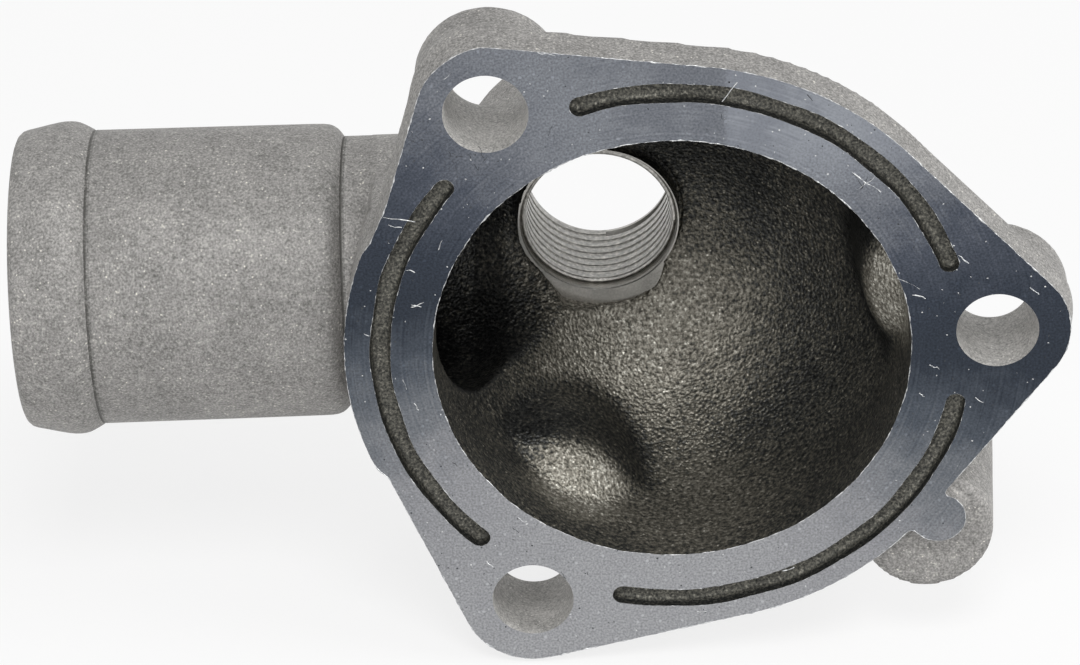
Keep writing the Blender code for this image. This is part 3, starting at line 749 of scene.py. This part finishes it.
def tapped_thread():
    """Bright tapped aluminium, with fine marks along the cut."""
    tapped, tree, place = new_material("tapped_aluminium")
    marks = add_node(tree, "ShaderNodeTexNoise", {"Vector": place, "Scale": per_mm(0.5), "Detail": 3.0})
    colour = add_node(tree, "ShaderNodeValToRGB", {
        "Fac": marks, "stops": [(0.3, "8f8e8a"), (0.55, "b6b4af"), (0.75, "dedbd5")]})
    end_material(tapped, {"Base Color": colour, "Metallic": 0.8, "Roughness": 0.35})

    thread, size = new_tree("thread_turns", ["Pitch", "Length", "Crest radius", "Middle radius"])
    turns = add_node(thread, "ShaderNodeMath", {"operation": "DIVIDE", 0: size["Length"], 1: size["Pitch"]})
    spiral = add_node(thread, "GeometryNodeCurveSpiral", {
        "Resolution": 72, "Rotations": turns, "Start Radius": size["Middle radius"],
        "End Radius": size["Middle radius"], "Height": size["Length"]})
    upright = add_node(thread, "GeometryNodeSetCurveNormal", {"mode": "Z_UP", "Curve": spiral})
    depth = add_node(thread, "ShaderNodeMath", {
        "operation": "SUBTRACT", 0: size["Middle radius"], 1: size["Crest radius"]})
    reach = add_node(thread, "ShaderNodeMath", {"operation": "MULTIPLY", 0: depth, 1: 2.0})
    foot = add_node(thread, "ShaderNodeMath", {"operation": "MULTIPLY", 0: size["Pitch"], 1: 0.97})
    crest = add_node(thread, "ShaderNodeMath", {"operation": "MULTIPLY", 0: size["Pitch"], 1: 0.25})
    section = add_node(thread, "GeometryNodeCurvePrimitiveQuadrilateral", {
        "mode": "TRAPEZOID", "Bottom Width": foot, "Top Width": crest, "Height": reach})
    section.inputs["Offset"].default_value = 0.0
    turned = add_node(thread, "GeometryNodeTransform", {
        "Geometry": section, "Rotation": (0.0, 0.0, math.radians(90.0))})
    swept = add_node(thread, "GeometryNodeCurveToMesh", {
        "Curve": upright, "Profile Curve": turned, "Fill Caps": True})
    placed = add_node(thread, "GeometryNodeTransform", {
        "Geometry": swept, "Rotation": (math.radians(-90.0), 0.0, 0.0),
        "Translation": (PORT_X * MM, THREAD_START * MM, PORT_Z * MM)})
    finish_tree(thread, placed, tapped)
    made = made_by(thread, "sensor_thread", bpy.data.meshes.new("no_points"), {
        "Pitch": THREAD_PITCH * MM, "Length": (THREAD_END - THREAD_START) * MM,
        "Crest radius": THREAD_MINOR * MM, "Middle radius": THREAD_MIDDLE * MM})
    work = bmesh.new()
    work.from_mesh(made.data)
    bmesh.ops.remove_doubles(work, verts=work.verts, dist=1e-7)
    bmesh.ops.recalc_face_normals(work, faces=work.faces)
    work.to_mesh(made.data)
    work.free()
    return made


thread = tapped_thread()
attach(thread, "root")

# 5. Burrs and scratches, thin lines of torn metal or of dark oxide.
# A burr is a ragged sliver a tenth of a millimetre across along each edge of the milled face. A fresh
# scratch throws up a lip of the same kind, and an old one is filled with oxide. Geometry Nodes sweep them.


def edge_lines(of_grooves):
    """The edges where the milled face ends at its grooves, or else at its rims, as a mesh of lines."""
    work = bmesh.new()
    work.from_mesh(casting.data)
    lines = bmesh.new()
    copies = {}
    for edge in work.edges:
        sides = [face.material_index for face in edge.link_faces]
        at_rim = len(sides) == 2 and sides.count(FACED) == 1 and HOLE_LIT not in sides
        if at_rim and (GROOVED in sides) == of_grooves:
            ends = []
            for vert in edge.verts:
                if vert.index not in copies:
                    copies[vert.index] = lines.verts.new(vert.co)
                ends.append(copies[vert.index])
            lines.edges.new(ends)
    work.free()
    mesh = bpy.data.meshes.new("edge_lines")
    lines.to_mesh(mesh)
    lines.free()
    return mesh


# Scratches on the face, each from one place to another: X, Z, far X and far Z in millimetres.
BRIGHT_SCRATCHES = [
    (-31.4, 16.9, -28.0, 16.4), (-31.0, 15.9, -29.4, 15.7), (-28.6, 5.7, -27.2, 6.3),
    (-29.6, -3.4, -29.3, -4.6), (-28.3, -6.5, -28.0, -7.4), (-28.5, 6.0, -27.4, 5.8), (-33.8, 2.4, -33.2, 2.0),
    (-29.2, 10.5, -28.1, 10.1), (24.4, 9.4, 26.9, 8.1), (26.2, 7.3, 27.6, 6.9), (19.2, 22.4, 22.3, 20.0),
    (19.8, 20.3, 21.6, 21.9), (28.4, -1.6, 29.3, -2.1), (27.3, -5.2, 27.9, -5.6), (-14.6, 36.8, -12.8, 36.5),
    (-24.6, 33.6, -23.8, 34.6), (5.1, 31.0, 6.6, 33.4), (-17.0, -21.4, -15.9, -22.2),
    (-20.6, -27.3, -19.8, -27.9), (3.2, -33.9, 4.9, -34.0), (12.7, -28.4, 14.0, -28.0), (39.0, 8.1, 40.0, 7.3),
    (31.0, 12.2, 32.1, 11.2), (33.4, -5.7, 34.4, -6.4), (-25.5, 12.9, -25.1, 14.1)]
DARK_SCRATCHES = [
    (-24.3, 25.2, -23.5, 22.9), (-23.9, 24.7, -22.7, 24.3), (-22.0, 24.6, -20.9, 22.4),
    (-20.1, 24.3, -21.2, 22.9), (-20.9, 25.6, -20.5, 24.2), (-13.0, 28.3, -13.5, 26.8), (5.0, 29.5, 5.3, 28.1),
    (8.4, 33.6, 8.9, 32.8), (14.1, 31.9, 14.7, 31.2), (19.2, 22.4, 20.4, 20.6), (20.9, 21.9, 20.1, 20.3),
    (21.3, 19.6, 20.6, 20.8), (-13.1, -26.6, -12.3, -27.3), (-12.2, -28.6, -11.7, -29.4),
    (-17.6, -22.8, -17.0, -23.4), (-11.4, -27.4, -10.7, -27.2), (-24.2, -14.2, -23.5, -15.0),
    (-7.9, -30.7, -7.2, -31.2), (-14.7, -26.1, -14.1, -27.0), (-9.6, -28.2, -9.1, -29.1)]


def scratch_lines(strokes):
    """Short bent strokes on the face, as a mesh of lines that lie just proud of it."""
    draw = np.random.default_rng(31)
    points, edges = [], []
    for x, z, far_x, far_z in strokes:
        for i in range(5):
            share = i / 4
            points.append(((x + (far_x - x) * share + draw.normal(0.0, 0.06)) * MM, -0.005 * MM,
                           (z + (far_z - z) * share + draw.normal(0.0, 0.06)) * MM))
            if i:
                edges.append((len(points) - 2, len(points) - 1))
    mesh = bpy.data.meshes.new("scratch_lines")
    mesh.from_pydata(points, edges, [])
    return mesh


def torn_metal():
    """Torn aluminium, bright on its ragged edge."""
    made, tree, place = new_material("torn_aluminium")
    dulled = add_node(tree, "ShaderNodeTexNoise", {"Vector": place, "Scale": per_mm(0.6), "Detail": 2.0})
    colour = add_node(tree, "ShaderNodeValToRGB", {"Fac": dulled, "stops": [(0.35, "9a9c9f"), (0.6, "dcdddd")]})
    return end_material(made, {"Base Color": colour, "Metallic": 0.7, "Roughness": 0.4})


def stuck_grit():
    """Dark oxide and blasting grit, caught in scratches and pores."""
    made, tree, place = new_material("oxide_grit")
    crumbs = add_node(tree, "ShaderNodeTexNoise", {"Vector": place, "Scale": per_mm(0.4), "Detail": 2.0})
    colour = add_node(tree, "ShaderNodeValToRGB", {"Fac": crumbs, "stops": [(0.35, "25282c"), (0.65, "4a4d50")]})
    return end_material(made, {"Base Color": colour, "Metallic": 0.1, "Roughness": 0.8})


def ragged_sliver(name, material):
    """A node tree that sweeps a thin sliver along lines, thick here and nearly gone there."""
    burr, size = new_tree(name, ["Step", "Thickest", "Raggedness", "Bareness", "Seed"])
    even = add_node(burr, "GeometryNodeResampleCurve", {
        "mode": "LENGTH", "Curve": add_node(burr, "GeometryNodeMeshToCurve", {"Mesh": size["Geometry"]}),
        "Length": size["Step"]})
    where = add_node(burr, "GeometryNodeInputPosition", {})
    fade = add_node(burr, "ShaderNodeTexNoise", {
        "noise_dimensions": "4D", "Vector": where, "W": size["Seed"], "Scale": per_mm(1.6), "Detail": 4.0,
        "Roughness": 0.75})
    full = add_node(burr, "ShaderNodeMath", {"operation": "ADD", 0: size["Bareness"], 1: 0.2})
    grown = add_node(burr, "ShaderNodeMapRange", {
        "Value": fade, "From Min": size["Bareness"], "From Max": full, "To Min": 0.06, "To Max": 1.0})
    radius = add_node(burr, "ShaderNodeMath", {"operation": "MULTIPLY", 0: grown, 1: size["Thickest"]})
    ragged = add_node(burr, "ShaderNodeTexNoise", {"Vector": where, "Scale": per_mm(0.7), "Detail": 3.0})
    centred = add_node(burr, "ShaderNodeVectorMath", {
        "operation": "SUBTRACT", 0: ragged.outputs["Color"], 1: (0.5, 0.5, 0.5)})
    shift = add_node(burr, "ShaderNodeVectorMath", {"operation": "SCALE", 0: centred, "Scale": size["Raggedness"]})
    moved = add_node(burr, "GeometryNodeSetPosition", {"Geometry": even, "Offset": shift})
    ring = add_node(burr, "GeometryNodeCurvePrimitiveCircle", {"Resolution": 5, "Radius": 1.0})
    swept = add_node(burr, "GeometryNodeCurveToMesh", {
        "Curve": moved, "Profile Curve": ring, "Scale": radius, "Fill Caps": True})
    finish_tree(burr, swept, material)
    return burr


torn, oxide = torn_metal(), stuck_grit()
bright_sliver = ragged_sliver("bright_sliver", torn)
slivers = [
    made_by(bright_sliver, "rim_burrs", edge_lines(False), {
        "Step": 0.22 * MM, "Thickest": 0.12 * MM, "Raggedness": 0.22 * MM, "Bareness": 0.46, "Seed": 2.0}),
    made_by(bright_sliver, "groove_burrs", edge_lines(True), {
        "Step": 0.22 * MM, "Thickest": 0.09 * MM, "Raggedness": 0.25 * MM, "Bareness": 0.52, "Seed": 4.0}),
    made_by(bright_sliver, "bright_scratches", scratch_lines(BRIGHT_SCRATCHES), {
        "Step": 0.18 * MM, "Thickest": 0.09 * MM, "Raggedness": 0.1 * MM, "Bareness": 0.4, "Seed": 5.0}),
    made_by(ragged_sliver("dark_sliver", oxide), "dark_scratches", scratch_lines(DARK_SCRATCHES), {
        "Step": 0.18 * MM, "Thickest": 0.05 * MM, "Raggedness": 0.4 * MM, "Bareness": 0.42, "Seed": 9.0})]
for piece in slivers:
    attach(piece, "root")

# 6. Grit and nicks on the milled face.
# Swarf and blasting grit left hundreds of specks of a tenth of a millimetre, some bright nicks and
# some dark grains stuck in the pores. Geometry Nodes scatter them over the face with a fixed seed.


def face_sheet():
    """The milled face alone, to scatter on."""
    work = bmesh.new()
    work.from_mesh(casting.data)
    bmesh.ops.delete(work, geom=[f for f in work.faces if f.material_index != FACED], context="FACES")
    mesh = bpy.data.meshes.new("face_sheet")
    work.to_mesh(mesh)
    work.free()
    return mesh


def scattered_specks(name, material):
    """A node tree that scatters flattened grains on a face."""
    tree, size = new_tree(name, ["Specks per area", "Smallest", "Largest", "Seed"])
    points = add_node(tree, "GeometryNodeDistributePointsOnFaces", {
        "Mesh": size["Geometry"], "Density": size["Specks per area"], "Seed": size["Seed"]})
    grain = add_node(tree, "GeometryNodeMeshIcoSphere", {"Radius": 1.0, "Subdivisions": 1})
    width = add_node(tree, "FunctionNodeRandomValue", {
        "data_type": "FLOAT", 2: size["Smallest"], 3: size["Largest"], "Seed": size["Seed"]})
    other = add_node(tree, "FunctionNodeRandomValue", {
        "data_type": "FLOAT", 2: size["Smallest"], 3: size["Largest"], "Seed": 77})
    shape = add_node(tree, "ShaderNodeCombineXYZ", {
        "X": width.outputs[1], "Y": 0.02 * MM, "Z": other.outputs[1]})
    angle = add_node(tree, "FunctionNodeRandomValue", {"data_type": "FLOAT", 2: 0.0, 3: math.pi, "Seed": 5})
    turn = add_node(tree, "ShaderNodeCombineXYZ", {"Y": angle.outputs[1]})
    placed = add_node(tree, "GeometryNodeInstanceOnPoints", {
        "Points": points, "Instance": grain, "Scale": shape, "Rotation": turn})
    finish_tree(tree, placed, material)
    return tree


nicks = made_by(scattered_specks("bright_nicks", torn), "bright_nicks", face_sheet(), {
    "Specks per area": 90000.0, "Smallest": 0.03 * MM, "Largest": 0.13 * MM, "Seed": 3.0})
grit = made_by(scattered_specks("dark_grit", oxide), "dark_grit", face_sheet(), {
    "Specks per area": 70000.0, "Smallest": 0.04 * MM, "Largest": 0.14 * MM, "Seed": 8.0})
for piece in (nicks, grit):
    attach(piece, "root")

# 7. Floor, light and camera, as on a packshot table.
# A plain pale sheet under large soft lamps: one high in front, one at the right and a weak one low at
# the left. The camera stands where the photograph was taken from. None of it is part of the object.
LAMPS = {
    "high_lamp": ((0.02, -0.57, 0.82), 0.4, 4.8), "right_lamp": ((0.89, -0.16, 0.42), 0.6, 5.1),
    "left_lamp": ((-0.62, -0.74, 0.26), 0.4, 1.0)}
LENS = 174.05
CAMERA_PLACE = (-0.010282, -0.495602, 0.288419)
CAMERA_RIGHT = (0.99997, 0.00636, -0.00367)
CAMERA_UP = (0.0, 0.49968, 0.86621)
FLOOR_REACH = 3.0
FLOOR_GAP = 0.0002


def seen_by_eye(tree):
    """1 where the camera sees the backdrop, straight or in metal, and 0 where it only lights the object."""
    path = add_node(tree, "ShaderNodeLightPath", {})
    seen = path.outputs["Is Camera Ray"]
    for ray in ("Is Glossy Ray", "Is Transmission Ray"):
        seen = add_node(tree, "ShaderNodeMath", {"operation": "MAXIMUM", 0: seen, 1: path.outputs[ray]})
    return seen


def lay_floor():
    """The pale sheet, just below the lowest point of the casting."""
    low = min(v.co.z for v in casting.data.vertices)
    work = bmesh.new()
    bmesh.ops.create_grid(work, x_segments=1, y_segments=1, size=FLOOR_REACH)
    for vert in work.verts:
        vert.co.z = low - FLOOR_GAP
    floor = link_mesh("floor", work)
    made, tree = new_material("pale_table")[:2]
    share = add_node(tree, "ShaderNodeMath", {"operation": "MULTIPLY", 0: seen_by_eye(tree), 1: 0.8})
    matt = add_node(tree, "ShaderNodeBsdfDiffuse", {"Color": linear("f2f2f2")})
    white = add_node(tree, "ShaderNodeEmission", {"Strength": 1.0})
    mixed = add_node(tree, "ShaderNodeMixShader", {0: share, 1: matt, 2: white})
    add_node(tree, "ShaderNodeOutputMaterial", {"Surface": mixed})
    floor.data.materials.append(made)


def hang_lamp(name, place, size, watts):
    """A round soft lamp, turned to the object."""
    lamp = bpy.data.lights.new(name, "AREA")
    lamp.shape = "DISK"
    lamp.size = size
    lamp.energy = watts
    made = bpy.data.objects.new(name, lamp)
    made.location = place
    made.rotation_euler = (-Vector(place)).to_track_quat("-Z", "Y").to_euler()
    bpy.context.scene.collection.objects.link(made)


def light_room():
    """Even light from all sides, and white to the eye."""
    world = bpy.data.worlds.new("white_room")
    world.use_nodes = True
    tree = world.node_tree
    tree.nodes.clear()
    soft = add_node(tree, "ShaderNodeBackground", {"Color": linear("ffffff"), "Strength": 0.4})
    white = add_node(tree, "ShaderNodeBackground", {"Color": linear("ffffff"), "Strength": 1.0})
    mixed = add_node(tree, "ShaderNodeMixShader", {0: seen_by_eye(tree), 1: soft, 2: white})
    add_node(tree, "ShaderNodeOutputWorld", {"Surface": mixed})
    bpy.context.scene.world = world


def place_camera():
    """The camera, turned by its own right and up directions."""
    lens = bpy.data.cameras.new("photo_camera")
    lens.lens = LENS
    lens.sensor_width = 36.0
    camera = bpy.data.objects.new("photo_camera", lens)
    right, up = Vector(CAMERA_RIGHT).normalized(), Vector(CAMERA_UP).normalized()
    turn = Matrix((right, up, right.cross(up))).transposed().to_4x4()
    turn.translation = Vector(CAMERA_PLACE)
    camera.matrix_world = turn
    bpy.context.scene.collection.objects.link(camera)
    bpy.context.scene.camera = camera


lay_floor()
light_room()
for name, (place, size, watts) in LAMPS.items():
    hang_lamp(name, place, size, watts)
place_camera()
bpy.context.scene.view_settings.view_transform = "Standard"
